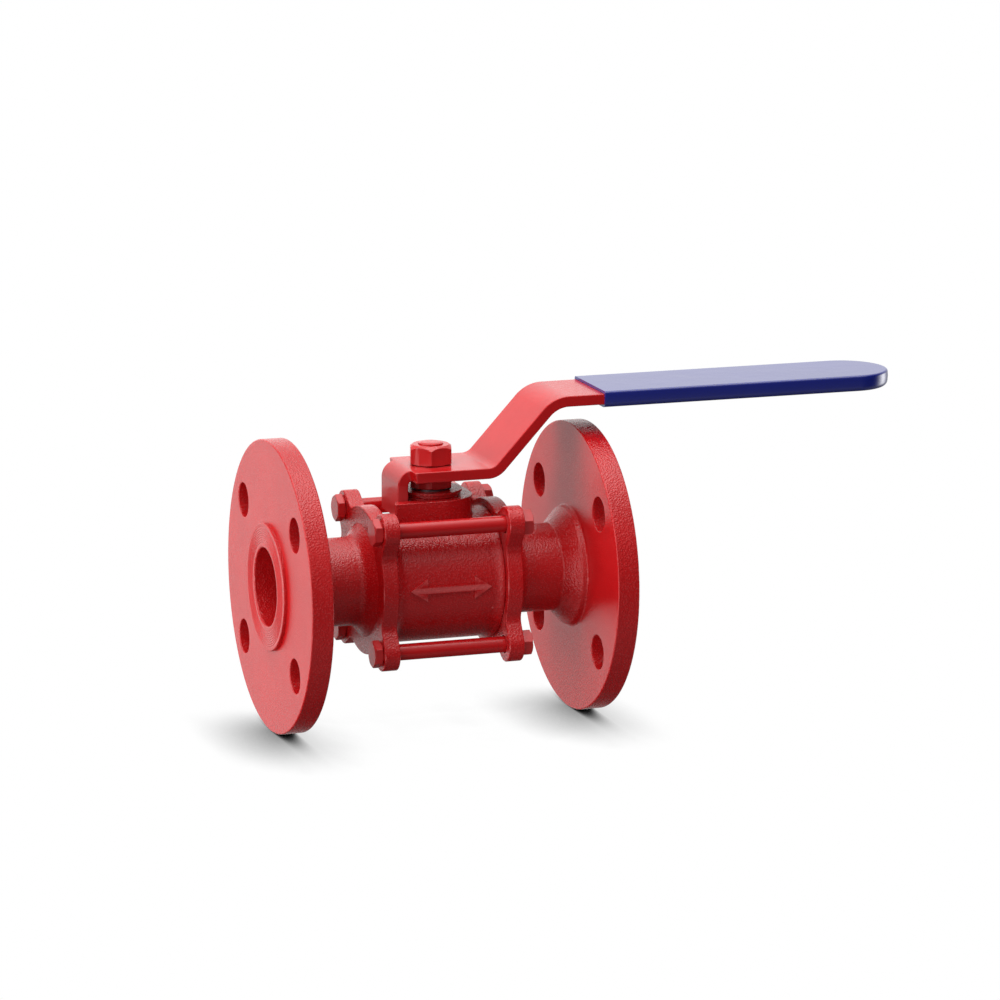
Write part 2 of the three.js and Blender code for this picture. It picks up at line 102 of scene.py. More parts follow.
LEVER_HALF, LEVER_THICK, TAB_HALF = 15.5, 4.0, 10.1
TAB_X, TAB_BOTTOM, DECK_Z, GRIP_Z = -13.8, 24.4, 40.0, 65.0
CRANK_START, CRANK_END, LEVER_TIP = 20.2, 43.2, 179.3
TAB_BEND, DECK_BEND, GRIP_BEND = 3.75, 7.0, 11.8
WIDE_START = -10.7                                        # of the blade, past the tab's bend
SLEEVE_START, SLEEVE_GROWTH = 62.0, 1.1

TIE_Y, TIE_Z, TIE_RADIUS = 22.6, 22.6, 3.0
TIE_HEAD, TIE_NUT_HEIGHT = 3.2, 4.0
TIE_END = PLATE_OUT + TIE_NUT_HEIGHT
GAP = 0.05                                                # between faces that touch
STEM_NUT_TURN = math.radians(13.5)                        # as the nuts were left when tightened
TIE_NUT_TURN = math.radians(16)

BROAD, NARROW = 8, 25                                     # how tightly a soft box is bundled

# Soft boxes round the valve: degrees clockwise from behind it, degrees up, strength and bundling.
SOFT_BOXES = (
    (0, 90, 4.5, BROAD),                                  # overhead
    (-90, -40, 0.2, BROAD),                               # left
    (-90, 0, 3.9, BROAD),
    (-90, 40, 1.3, BROAD),
    (-135, 0, 0.75, BROAD),                               # left and front
    (-135, 40, 0.2, BROAD),
    (180, -40, 0.35, BROAD),                              # front
    (180, 40, 0.55, BROAD),
    (0, 0, 1.4, BROAD),                                   # behind
    (0, 40, 0.4, BROAD),
    (45, 0, 0.55, BROAD),                                 # behind and right
    (45, 40, 0.7, BROAD),
    (90, -40, 0.25, BROAD),                               # right
    (80, -8, 5.0, NARROW),                                # the one seen in the grip's tip
)

SHADOW_REACH = 34.0                                       # of the valve's painted shadow on the floor
SHADOW_FROM = (0.34, 0.88, 0.35)                          # direction of the light it hides there

QUARTER = math.pi / 2
CORNERS = ((-1, 1), (-1, -1), (1, 1), (1, -1))            # signs of Y and Z, as the nodes count them

# ------------------------------------------------------------------ shapes


def circle(radius, count, first=0.0):
    """Points round a circle, from the angle of the first one."""
    angles = [first + 2 * math.pi * i / count for i in range(count)]
    return [(radius * math.cos(a), radius * math.sin(a)) for a in angles]


def arc(centre, radius, start, end, steps):
    """Points on an arc, both ends included."""
    angles = [start + (end - start) * i / steps for i in range(steps + 1)]
    return [(centre[0] + radius * math.cos(a), centre[1] + radius * math.sin(a)) for a in angles]


def rounded(corners, step=math.radians(10)):
    """A closed outline whose corners, given as (x, y, radius), are turned into arcs."""
    points = []
    for i, (x, y, radius) in enumerate(corners):
        corner = Vector((x, y))
        back = (Vector(corners[i - 1][:2]) - corner).normalized()
        ahead = (Vector(corners[(i + 1) % len(corners)][:2]) - corner).normalized()
        turn = math.pi - back.angle(ahead)
        if radius == 0:
            points.append((x, y))
            continue
        centre = corner + (back + ahead).normalized() * radius / math.cos(turn / 2)
        start = corner + back * radius * math.tan(turn / 2) - centre
        end = corner + ahead * radius * math.tan(turn / 2) - centre
        signed = turn if start.cross(end) > 0 else -turn
        first = math.atan2(start.y, start.x)
        points += arc(centre, radius, first, first + signed, max(2, math.ceil(turn / step)))
    return points


def spaced(outline, longest):
    """The closed outline with its long straight stretches divided."""
    points = []
    for i, point in enumerate(outline):
        here, there = Vector(point), Vector(outline[(i + 1) % len(outline)])
        parts = max(1, math.ceil((there - here).length / longest))
        points += [tuple(here.lerp(there, k / parts)) for k in range(parts)]
    return points


def inset(outline, distance):
    """The closed anticlockwise outline moved inwards by a distance."""
    moved = []
    for i, point in enumerate(outline):
        here = Vector(point)
        into = (here - Vector(outline[i - 1])).normalized()
        out = (Vector(outline[(i + 1) % len(outline)]) - here).normalized()
        edge = Vector((into.y, -into.x))
        outward = (edge + Vector((out.y, -out.x))).normalized()
        moved.append(tuple(here - outward * distance / max(0.3, outward.dot(edge))))
    return moved


def placed(u, v, w, axis):
    """A point of a section (u, v) at distance w along an axis."""
    if axis == "X":
        return (w, u, v)
    if axis == "front":
        return (u, -w, v)
    return (u, v, w)


def skin(name, rings, loop=False):
    """A mesh through rings of equally many points, joined end to end or closed with flat ends."""
    mesh = bmesh.new()
    rows = [[mesh.verts.new(point) for point in ring] for ring in rings]
    pairs = list(zip(rows, rows[1:] + rows[:1])) if loop else list(zip(rows, rows[1:]))
    for low, high in pairs:
        for i in range(len(low)):
            j = (i + 1) % len(low)
            mesh.faces.new((low[i], low[j], high[j], high[i]))
    if not loop:
        mesh.faces.new(rows[0][::-1])
        mesh.faces.new(rows[-1])
    bmesh.ops.recalc_face_normals(mesh, faces=mesh.faces)
    data = bpy.data.meshes.new(name)
    mesh.to_mesh(data)
    mesh.free()
    piece = bpy.data.objects.new(name, data)
    bpy.context.scene.collection.objects.link(piece)
    return piece


def lathe(name, profile, axis, count=160, loop=True):
    """A turned piece. The profile is a list of (radius, distance along the axis)."""
    rings = [[placed(u, v, w, axis) for u, v in circle(radius, count)] for radius, w in profile]
    return skin(name, rings, loop)


def prism(name, outline, low, high, axis="Z", edge=0.0, steps=4):
    """A plate of the given outline, with its edges rounded."""
    turns = [QUARTER * k / steps for k in range(steps + 1)] if edge else [QUARTER]
    levels = [(edge * (1 - math.sin(a)), low + edge * (1 - math.cos(a))) for a in turns]
    levels += [(distance, low + high - w) for distance, w in reversed(levels)]
    rings = [
        [placed(u, v, w, axis) for u, v in (inset(outline, distance) if distance else outline)]
        for distance, w in levels
    ]
    return skin(name, rings)


def applied(piece):
    """Makes the piece's modifiers part of its mesh."""
    shown = piece.evaluated_get(bpy.context.evaluated_depsgraph_get())
    data = bpy.data.meshes.new_from_object(shown)
    piece.modifiers.clear()
    piece.data = data
    return piece


def combined(piece, operation, *tools):
    """The piece with the tools joined to it, cut from it, or kept as their common part."""
    for tool in tools:
        step = piece.modifiers.new(operation.lower(), "BOOLEAN")
        step.object = tool
        step.operation = operation
        step.solver = "MANIFOLD"
        applied(piece)
        bpy.data.objects.remove(tool)
    return piece


def shifted(piece, x=0.0, y=0.0, z=0.0):
    """The piece with its mesh moved, in millimetres."""
    piece.data.transform(Matrix.Translation((x, y, z)))
    return piece


def settled(piece, body, slot, material, *nodes, sharp=28):
    """Moves a finished piece onto the frame in place of its CAD nodes. Faces that meet at more
    than the given number of degrees keep a sharp edge."""
    piece.data.transform(Matrix.Translation(CENTRE) @ Matrix.Scale(MM, 4))
    piece.data.shade_smooth()
    piece.data.set_sharp_from_angle(angle=math.radians(sharp))
    flats = piece.modifiers.new("flat faces stay flat", "WEIGHTED_NORMAL")
    flats.keep_sharp = True
    piece.data.materials.clear()
    piece.data.materials.append(material)
    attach(piece, body)
    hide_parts(*nodes)
    return piece


# ------------------------------------------------------------------ materials

RED_DARKER, RED_LIGHTER = (0.50, 0.006, 0.008, 1.0), (0.55, 0.007, 0.009, 1.0)
RED_GLINT_AND_WEAR = (0.80, 0.20, 0.20, 1.0)                        # painted highlight on edges and grain crests; on edges also paint rubbed thin
BLUE_DARKER, BLUE_LIGHTER = (0.010, 0.016, 0.19, 1.0), (0.012, 0.020, 0.24, 1.0)
WHITE_DARKER, WHITE_LIGHTER = (0.72, 0.72, 0.69, 1.0), (0.82, 0.82, 0.79, 1.0)
BRIGHT_STEEL, DARK_STEEL = (0.62, 0.63, 0.65), (0.20, 0.20, 0.21)


def node(tree, kind, inputs=None, **settings):
    """A shader node with its settings and with its inputs set or linked."""
    made = tree.nodes.new(kind)
    for name, value in settings.items():
        setattr(made, name, value)
    for name, value in (inputs or {}).items():
        if isinstance(value, bpy.types.NodeSocket):
            tree.links.new(value, made.inputs[name])
        else:
            made.inputs[name].default_value = value
    return made


def new_material(name):
    material = bpy.data.materials.new(name)
    material.use_nodes = True
    tree = material.node_tree
    return material, tree, tree.nodes["Principled BSDF"]


def speckle(tree, place, size, detail=2.0, roughness=0.5):
    """Noise whose patches are about the given size, in millimetres."""
    noise = node(tree, "ShaderNodeTexNoise", {
        "Vector": place, "Scale": 1 / (size * MM), "Detail": detail, "Roughness": roughness})
    return noise.outputs["Fac"]


def spread(tree, value, low, high, to_low, to_high):
    """A value's range from low to high, stretched onto another range."""
    stretch = node(tree, "ShaderNodeMapRange", {
        "Value": value, "From Min": low, "From Max": high, "To Min": to_low, "To Max": to_high})
    return stretch.outputs["Result"]


def stipple(tree, place, size):
    """Height of small round bumps about the given size apart, in millimetres: 1 on their crests."""
    cells = node(tree, "ShaderNodeTexVoronoi", {"Vector": place, "Scale": 1 / (size * MM)})
    return spread(tree, cells.outputs["Distance"], 0.0, 0.7, 1.0, 0.0)


def flange_faces(tree, place):
    """1 on the turned faces of the flanges and 0 elsewhere."""
    middle = node(tree, "ShaderNodeVectorMath", {0: place, 1: CENTRE}, operation="SUBTRACT")
    along = node(tree, "ShaderNodeSeparateXYZ", {"Vector": middle.outputs["Vector"]}).outputs["X"]
    facing = node(tree, "ShaderNodeNewGeometry").outputs["True Normal"]
    across = node(tree, "ShaderNodeSeparateXYZ", {"Vector": facing}).outputs["X"]
    far = node(tree, "ShaderNodeMath", {0: along}, operation="ABSOLUTE").outputs["Value"]
    flat = node(tree, "ShaderNodeMath", {0: across}, operation="ABSOLUTE").outputs["Value"]
    outside = node(tree, "ShaderNodeMath", {0: far, 1: (FLANGE_BACK - 1) * MM}, operation="GREATER_THAN")
    level = node(tree, "ShaderNodeMath", {0: flat, 1: 0.9}, operation="GREATER_THAN")
    both = node(tree, "ShaderNodeMath", {
        0: outside.outputs["Value"], 1: level.outputs["Value"]}, operation="MULTIPLY")
    return both.outputs["Value"]


def red_paint(name, grain, grain_size, roughness, crest_glint=0.0, turned=False):
    """Red enamel over a skin whose grain has the given depth and size, in millimetres, and whose
    crests are lighter by the given share, a painted highlight for the glints of the grain. Edges are
    lighter too, a painted highlight that also stands for paint rubbed thin there. turned leaves less
    grain on the flanges' turned faces."""
    edge_glint_and_wear, turned_grain = 0.45, 0.35
    material, tree, shader = new_material(name)
    place = node(tree, "ShaderNodeTexCoord").outputs["Object"]
    patches = speckle(tree, place, 16.0, 3.0)
    tint = node(tree, "ShaderNodeMix", {
        "Factor": spread(tree, patches, 0.35, 0.65, 0.0, 1.0),
        "A": RED_DARKER, "B": RED_LIGHTER}, data_type="RGBA")
    skin_height = stipple(tree, place, grain_size)
    cast_skin = spread(tree, flange_faces(tree, place), 0.0, 1.0, 1.0, 0.0) if turned else 1.0
    strength = spread(tree, cast_skin, 0.0, 1.0, turned_grain, 1.0) if turned else 1.0
    # Painted highlight: sharp edges, found by their pointiness, are mixed towards the pale red; on edges it
    # also stands for paint rubbed thin.
    sharpness = node(tree, "ShaderNodeNewGeometry").outputs["Pointiness"]
    edge = node(tree, "ShaderNodeMath", {
        0: spread(tree, sharpness, 0.53, 0.63, 0.0, edge_glint_and_wear), 1: cast_skin}, operation="MULTIPLY")
    # Painted highlight: the grain's crests are mixed towards the pale red as well.
    paler = node(tree, "ShaderNodeMath", {
        0: spread(tree, skin_height, 0.45, 0.9, 0.0, crest_glint), 1: strength,
        2: edge.outputs["Value"]}, operation="MULTIPLY_ADD")
    with_glints = node(tree, "ShaderNodeMix", {
        "Factor": paler.outputs["Value"],
        "A": tint.outputs["Result"], "B": RED_GLINT_AND_WEAR}, data_type="RGBA")
    tree.links.new(with_glints.outputs["Result"], shader.inputs["Base Color"])
    gloss = spread(tree, skin_height, 0.2, 0.8, roughness + 0.06, roughness - 0.04)
    tree.links.new(gloss, shader.inputs["Roughness"])
    bump = node(tree, "ShaderNodeBump", {
        "Height": skin_height, "Strength": strength, "Distance": grain * MM})
    tree.links.new(bump.outputs["Normal"], shader.inputs["Normal"])
    return material


def blue_vinyl():
    """Dark blue dipped vinyl, glossy, with the slight waves that dipping leaves."""
    material, tree, shader = new_material("blue_vinyl")
    place = node(tree, "ShaderNodeTexCoord").outputs["Object"]
    patches = speckle(tree, place, 25.0, 2.0)
    tint = node(tree, "ShaderNodeMix", {
        "Factor": patches, "A": BLUE_DARKER, "B": BLUE_LIGHTER}, data_type="RGBA")
    shader.inputs["Specular IOR Level"].default_value = 1.0
    tree.links.new(tint.outputs["Result"], shader.inputs["Base Color"])
    fine = speckle(tree, place, 1.2, 2.0)
    tree.links.new(spread(tree, fine, 0.3, 0.7, 0.05, 0.09), shader.inputs["Roughness"])
    bump = node(tree, "ShaderNodeBump", {
        "Height": speckle(tree, place, 9.0, 1.0), "Strength": 1.0, "Distance": 0.05 * MM})
    tree.links.new(bump.outputs["Normal"], shader.inputs["Normal"])
    return material


def turned_steel(name, colour, roughness):
    """Bare steel with fine turning marks."""
    material, tree, shader = new_material(name)
    place = node(tree, "ShaderNodeTexCoord").outputs["Object"]
    marks = speckle(tree, place, 0.8, 4.0)
    shader.inputs["Base Color"].default_value = (*colour, 1.0)
    shader.inputs["Metallic"].default_value = 1.0
    tree.links.new(spread(tree, marks, 0.3, 0.7, roughness - 0.05, roughness + 0.08),
                   shader.inputs["Roughness"])
    bump = node(tree, "ShaderNodeBump", {"Height": marks, "Strength": 1.0, "Distance": 0.01 * MM})
    tree.links.new(bump.outputs["Normal"], shader.inputs["Normal"])
    return material


def white_seal():
    """White fluoropolymer."""
    material, tree, shader = new_material("white_seal")
    place = node(tree, "ShaderNodeTexCoord").outputs["Object"]
    tint = node(tree, "ShaderNodeMix", {
        "Factor": speckle(tree, place, 4.0), "A": WHITE_DARKER, "B": WHITE_LIGHTER}, data_type="RGBA")
    tree.links.new(tint.outputs["Result"], shader.inputs["Base Color"])
    shader.inputs["Roughness"].default_value = 0.45
    return material


cast_grain = {"grain": 0.12, "grain_size": 0.72, "roughness": 0.2, "crest_glint": 0.18}
CAST = red_paint("red_cast", **cast_grain)
CAP_CAST = red_paint("red_cap_cast", **cast_grain, turned=True)
SMOOTH = red_paint("red_smooth", grain=0.015, grain_size=1.6, roughness=0.18)
VINYL = blue_vinyl()
BALL_STEEL = turned_steel("ball_steel", BRIGHT_STEEL, 0.15)
SPRING_STEEL = turned_steel("spring_steel", DARK_STEEL, 0.35)
SEAL = white_seal()

# ------------------------------------------------------------------ end caps


def plate_outline():
    """Round plate with four ears, each joined to the round by straight flanks and hollows."""
    reach = math.hypot(TIE_Y, TIE_Z)
    flank = reach * math.sin(EAR_LEAN) + EAR_RADIUS       # its distance from the plate's centre
    away = PLATE_RADIUS + EAR_HOLLOW
    swing = QUARTER - EAR_LEAN - math.acos((flank + EAR_HOLLOW) / away)
    hollow = (away * math.cos(swing), away * math.sin(swing))
    ear = arc((hollow[0], -hollow[1]), EAR_HOLLOW, math.pi - swing, QUARTER + EAR_LEAN, 8)
    ear += arc((reach, 0), EAR_RADIUS, EAR_LEAN - QUARTER, QUARTER - EAR_LEAN, 24)
    ear += arc(hollow, EAR_HOLLOW, 3 * QUARTER - EAR_LEAN, math.pi + swing, 8)
    first = math.atan2(TIE_Z, TIE_Y)
    angles = (first, math.pi - first, math.pi + first, 2 * math.pi - first)
    outline = []
    for i, angle in enumerate(angles):
        c, s = math.cos(angle), math.sin(angle)
        outline += [(c * x - s * y, s * x + c * y) for x, y in ear]
        ahead = angles[i + 1] if i < 3 else first + 2 * math.pi
        outline += arc((0, 0), PLATE_RADIUS, angle + swing, ahead - swing, 12)[1:-1]
    return outline


def raised_face():
    """Profile of the raised face from its rim to its bore, with the fine turned grooves."""
    pitch, depth, edge = 0.8, 0.09, 0.25
    outer_land, inner_land = 1.2, 2.0                     # left plain beside the rim and the bore
    points = [(RAISED_RADIUS, FLANGE_FRONT), (RAISED_RADIUS, FACE_X - edge),
              (RAISED_RADIUS - edge, FACE_X)]
    radius = RAISED_RADIUS - outer_land
    while radius > BORE_MOUTH + inner_land:
        points += [(radius, FACE_X), (radius - 0.3 * pitch, FACE_X - depth),
                   (radius - 0.7 * pitch, FACE_X - depth)]
        radius -= pitch
    return points + [(radius, FACE_X), (CORE_RADIUS, FACE_X)]


def cap_casting(name):
    """End cap, neck and flange in one casting, on the +X side of the ball."""
    inside_plate, sunk = PLATE_IN + 2, PLATE_OUT - 0.02   # sunk, so that no two faces coincide
    back = rounded([                                      # (radius, distance, corner's radius)
        (CORE_RADIUS, SPIGOT_NOSE, 0),
        (SPIGOT_RADIUS, SPIGOT_NOSE, 0.5),
        (SPIGOT_RADIUS, inside_plate, 0),
        (CONE_RADIUS + 1, inside_plate, 0),
        (CONE_RADIUS + 1, sunk, 0),
        (CONE_RADIUS, sunk, 0.6),
        (NECK_RADIUS, CONE_END, 4.0),
        (NECK_RADIUS, HUB_START, 1.2),
        (HUB_RADIUS, HUB_END, 1.5),
        (HUB_RADIUS + 0.4, FLANGE_BACK, 0.9),
        (FLANGE_RADIUS, FLANGE_BACK, 0.5),
        (FLANGE_RADIUS, FLANGE_FRONT, 0.5),
        (FLANGE_RADIUS - 5, FLANGE_FRONT, 0),
        (CORE_RADIUS, FLANGE_FRONT, 0),
    ], math.radians(15))[:-1]
    casting = lathe(name, back + raised_face(), "X", 200, loop=False)
    plate = prism(name + "_plate", plate_outline(), PLATE_IN, PLATE_OUT, "X", edge=0.45, steps=5)
    combined(casting, "UNION", plate)
    past = 2.0                                            # how far a tool reaches beyond the metal
    mouth_edge = 0.6
    widest = BORE_MOUTH + mouth_edge
    bore = lathe(name + "_bore", [
        (SEAT_POCKET, SPIGOT_NOSE - past), (SEAT_POCKET, SEAT_POCKET_END),
        (BORE_RADIUS, SEAT_POCKET_END), (BORE_RADIUS, TAPER_START), (BORE_MOUTH, TAPER_END),
        *[(widest - r, x) for r, x in arc((0, FACE_X - mouth_edge), mouth_edge, 0, QUARTER, 5)],
        (widest, FACE_X + past),
    ], "X", 120, loop=False)
    tools = [bore]
    lip, lip_foot, lip_wall = 0.4, 0.1, 0.15              # rounded edge of the flange's holes
    for side_y, side_z in CORNERS:
        hole = lathe(name + "_hole", [
            (HOLE_RADIUS + lip, FLANGE_BACK - past), (HOLE_RADIUS + lip, FLANGE_BACK),
            (HOLE_RADIUS + lip_foot, FLANGE_BACK + lip_wall), (HOLE_RADIUS, FLANGE_BACK + lip),
            (HOLE_RADIUS, FLANGE_FRONT - lip), (HOLE_RADIUS + lip_foot, FLANGE_FRONT - lip_wall),
            (HOLE_RADIUS + lip, FLANGE_FRONT), (HOLE_RADIUS + lip, FLANGE_FRONT + past),
        ], "X", 72, loop=False)
        tools.append(shifted(hole, y=side_y * HOLE_Y, z=side_z * HOLE_Z))
        drilled = lathe(name + "_tie", [
            (TIE_HOLE, PLATE_IN - past), (TIE_HOLE, PLATE_OUT + past)], "X", 48, loop=False)
        tools.append(shifted(drilled, y=side_y * TIE_Y, z=side_z * TIE_Z))
    return combined(casting, "DIFFERENCE", *tools)


def build_caps():
    for end, turn in (("right", 0.0), ("left", math.pi)):
        cap = cap_casting("cap_" + end)
        cap.data.transform(Matrix.Rotation(turn, 4, "Z"))
        settled(cap, "casing", "red_paint", CAP_CAST, "end_cap_" + end)


# ------------------------------------------------------------------ body


def pad_outline():
    """Deck round the stem, cut back where the lever's tab sweeps past."""
    start = math.atan2(math.sqrt(PAD_CORE ** 2 - STOP_INNER ** 2), STOP_INNER)
    return rounded([
        (-STOP_END, -PAD_RADIUS, PAD_CORNER),
        *[(x, y, 0) for x, y in arc((0, 0), PAD_RADIUS, -QUARTER, 0, 24)],
        (PAD_RADIUS, STOP_END, PAD_CORNER),
        (STOP_INNER, STOP_END, PAD_CORNER),
        *[(x, y, 0) for x, y in arc((0, 0), PAD_CORE, start, 3 * QUARTER - start, 40)],
        (STOP_TAPER - STOP_END, -STOP_INNER, PAD_CORNER),
    ])


def arrow_outline():
    """Double-headed arrow, the usual cast sign of a valve that passes flow both ways."""
    tip, barb, half, bar = 15.5, 9.0, 4.2, 1.3
    right = [(barb, -bar), (barb, -half), (tip, 0.0), (barb, half), (barb, bar)]
    return right + [(-x, -y) for x, y in right]


def build_body():
    """The cast blank is remeshed to soften its edges, and its ends and deck are then cut sharp."""
    past = 2.0                                            # how far a tool reaches beyond the metal
    blank_end = BARREL_HALF + 1.0
    barrel = lathe("body", rounded([
        (CORE_RADIUS, -blank_end, 0), (RIM_RADIUS, -blank_end, 0), (RIM_RADIUS, -RIM_START, 0.6),
        (BARREL_RADIUS, RIM_SWELL - RIM_START, 4.0), (BARREL_RADIUS, RIM_START - RIM_SWELL, 4.0),
        (RIM_RADIUS, RIM_START, 0.6), (RIM_RADIUS, blank_end, 0), (CORE_RADIUS, blank_end, 0),
    ]), "X", 160, loop=False)
    root = prism("body_pad_root", inset(pad_outline(), 0.12), low=8, high=PAD_TOP - 1.5)
    combined(barrel, "UNION", root)
    remesh = barrel.modifiers.new("cast", "REMESH")
    remesh.mode = "VOXEL"
    remesh.voxel_size = CAST_VOXEL
    smoothing = barrel.modifiers.new("soft edges", "SMOOTH")
    smoothing.iterations = CAST_SMOOTHING
    applied(barrel)
    shoulder = BARREL_HALF - RIM_EDGE - 0.02
    around, middle = 60.0, 0.5                            # outside the deck, and near the axis
    machined = lathe("body_machined", rounded([
        (middle, -BARREL_HALF, 0), (RIM_RADIUS, -BARREL_HALF, RIM_EDGE), (RIM_RADIUS, -shoulder, 0),
        (around, -shoulder, 0), (around, shoulder, 0), (RIM_RADIUS, shoulder, 0),
        (RIM_RADIUS, BARREL_HALF, RIM_EDGE), (middle, BARREL_HALF, 0),
    ]), "X", 160, loop=False)
    combined(barrel, "INTERSECT", machined)
    pad = prism("body_pad", pad_outline(), low=16, high=PAD_TOP, edge=0.3, steps=3)
    cavity = lathe("body_cavity", [
        (SEAL_RADIUS, -BARREL_HALF - past), (SEAL_RADIUS, -SEAL_START), (CAVITY_RADIUS, -SEAL_START),
        (CAVITY_RADIUS, SEAL_START), (SEAL_RADIUS, SEAL_START), (SEAL_RADIUS, BARREL_HALF + past),
    ], "X", 120, loop=False)
    passage = lathe("body_passage", [
        (POCKET_RADIUS, 0.0), (POCKET_RADIUS, POCKET_TOP), (STEM_HOLE, POCKET_TOP),
        (STEM_HOLE, BOX_FLOOR), (BOX_RADIUS, BOX_FLOOR), (BOX_RADIUS, PAD_TOP + past),
    ], "Z", 72, loop=False)
    mark = prism("body_mark", arrow_outline(), low=15, high=30, axis="front")
    shell = lathe("body_mark_shell", [
        (MARK_RADIUS, -BARREL_HALF), (MARK_RADIUS, BARREL_HALF)], "X", 160, loop=False)
    combined(barrel, "UNION", pad, combined(mark, "INTERSECT", shell))
    combined(barrel, "DIFFERENCE", cavity, passage)
    settled(barrel, "casing", "red_paint", CAST, "valve_body")


# ------------------------------------------------------------------ fasteners


def hexagon(name, across, low, high, axis, hole=0.0, turn=0.0, slopes=(30, 30), flat_part=0.97,
            lead=0.5):
    """A hexagon with a nut's chamfers, sloping by so many degrees at its low and high ends, with
    one corner at the given turn, and drilled with a lead-in at both ends if it has a hole."""
    soft, corner_edge, longest = 0.1, 0.25, 0.6           # rounded edges, and a chord along them
    corner = across / 2 / math.cos(math.pi / 6)
    outline = spaced(rounded([(u, v, corner_edge) for u, v in circle(corner, 6, turn)]), longest)
    flat_ring = across / 2 * flat_part

    def side(level, sign, slope):
        inner, outer = [], []
        for u, v in outline:
            radius = math.hypot(u, v)
            near = 1 - soft / radius
            fall = max(0.0, radius - flat_ring) * slope
            close = max(0.0, radius - soft - flat_ring) * slope
            inner.append((u * near, v * near, level + sign * close))
            outer.append((u, v, level + sign * (fall + soft)))
        return inner, outer

    def ring(radius, level):
        return [(u * radius / math.hypot(u, v), v * radius / math.hypot(u, v), level)
                for u, v in outline]

    low_slope, high_slope = (math.tan(math.radians(angle)) for angle in slopes)
    low_inner, low_outer = side(low, 1, low_slope)
    high_inner, high_outer = side(high, -1, high_slope)
    face_ring = flat_ring - 0.2
    sections = [ring(face_ring, low), low_inner, low_outer,
                high_outer, high_inner, ring(face_ring, high)]
    if hole:
        sections = [ring(hole, low + lead), ring(hole + lead, low), *sections,
                    ring(hole + lead, high), ring(hole, high - lead)]
    rings = [[placed(u, v, w, axis) for u, v, w in section] for section in sections]
    return skin(name, rings, loop=bool(hole))


def build_tie_bolts():
    under = -PLATE_OUT
    for i, (side_y, side_z) in enumerate(CORNERS, 1):
        place = {"y": side_y * TIE_Y, "z": side_z * TIE_Z}
        head = hexagon(f"tie_bolt_{i}_head", TIE_NUT, under - TIE_HEAD, under, "X", turn=math.pi / 6)
        shank = lathe(f"tie_bolt_{i}_piece", [
            (TIE_RADIUS, under - 1), (TIE_RADIUS, TIE_END - 0.5), (TIE_RADIUS - 0.6, TIE_END),
        ], "X", 48, loop=False)
        bolt = shifted(combined(shank, "UNION", head), **place)
        settled(bolt, "casing", "red_paint", SMOOTH, f"tie_bolt_{i}")
        nut = hexagon(f"tie_nut_{i}_piece", TIE_NUT, PLATE_OUT, TIE_END, "X",
                      hole=TIE_RADIUS + GAP, turn=side_y * TIE_NUT_TURN)
        settled(shifted(nut, **place), "casing", "red_paint", SMOOTH, f"tie_nut_{i}")


# ------------------------------------------------------------------ stem, gland and ball


def block_outline(half_x, half_y, corner):
    """A rectangle with rounded corners."""
    return rounded([(-half_x, -half_y, corner), (half_x, -half_y, corner),
                    (half_x, half_y, corner), (-half_x, half_y, corner)])


def build_stem():
    middle = 0.5                                          # radius of the flat in the crown's middle
    stem = lathe("stem_piece", rounded([
        (middle, COLLAR_BOTTOM, 0), (COLLAR_RADIUS, COLLAR_BOTTOM, 0.4),
        (COLLAR_RADIUS, COLLAR_TOP, 0.4), (STEM_RADIUS, COLLAR_TOP, 0),
        (STEM_RADIUS, THREAD_START, 0), (THREAD_RADIUS, THREAD_START, 0),
        (THREAD_RADIUS, STEM_TOP - 0.35, 0.15), (THREAD_RADIUS - 0.9, STEM_TOP - 0.05, 0.3),
        (middle, STEM_TOP, 0),
    ]), "Z", 96, loop=False)
    tang = prism("stem_tang", block_outline(TANG_X, TANG_Y, 0.5), TANG_BOTTOM, COLLAR_BOTTOM + 0.9)
    combined(stem, "UNION", tang)
    settled(stem, "stem_and_handle", "red_paint", SMOOTH, "stem")
    for name, low, high, hole, slopes in (
        ("gland_nut", 33.35, 37.95, STEM_RADIUS + GAP, (20, 30)),
        ("handle_nut", 42.05, 49.4, THREAD_RADIUS + 3 * GAP, (20, 40)),
    ):
        nut = hexagon(name + "_piece", STEM_NUT, low, high, "Z", hole, STEM_NUT_TURN, slopes,
                      flat_part=0.92, lead=0.15)
        settled(nut, "stem_and_handle", "red_paint", SMOOTH, name)


def build_gland():
    seated = PAD_TOP + GAP
    gland = lathe("gland_piece", rounded([
        (GLAND_INNER, GLAND_BOTTOM, 0), (GLAND_NOSE, GLAND_BOTTOM, 0.1), (GLAND_NOSE, seated, 0),
        (GLAND_SHOULDER, seated, 0.2), (GLAND_SHOULDER, SHOULDER_TOP, 0.1),
        (GLAND_RADIUS, SHOULDER_TOP, 0.15), (GLAND_RADIUS, GLAND_TOP, 0.15),
        (RECESS_RADIUS, GLAND_TOP, 0.1), (RECESS_RADIUS, RECESS_FLOOR, 0),
        (GLAND_INNER, RECESS_FLOOR, 0),
    ]), "Z", 120)
    settled(gland, "casing", "red_paint", CAST, "gland")
    for i, rise in enumerate((SPRING_CONE, -SPRING_CONE)):
        bottom = RECESS_FLOOR + GAP + SPRING_PITCH * i
        inner, outer = bottom + max(rise, 0), bottom + max(-rise, 0)
        spring = lathe(f"disc_spring_{i + 1}_piece", [
            (SPRING_INNER, inner), (SPRING_OUTER, outer), (SPRING_OUTER, outer + SPRING_THICK),
            (SPRING_INNER, inner + SPRING_THICK)], "Z", 96)
        settled(spring, "stem_and_handle", "spring_steel", SPRING_STEEL, f"disc_spring_{i + 1}")


def build_ball():
    half = math.acos(PORT_RADIUS / BALL_RADIUS)
    ball = lathe("ball_piece", arc((0, 0), BALL_RADIUS, -half, half, 40), "X", 160)
    slot = prism("ball_slot", block_outline(SLOT_X, SLOT_Y, 3.4), SLOT_FLOOR, BALL_RADIUS + 2)
    combined(ball, "DIFFERENCE", slot)
    settled(ball, "ball", "polished_steel", BALL_STEEL, "ball")


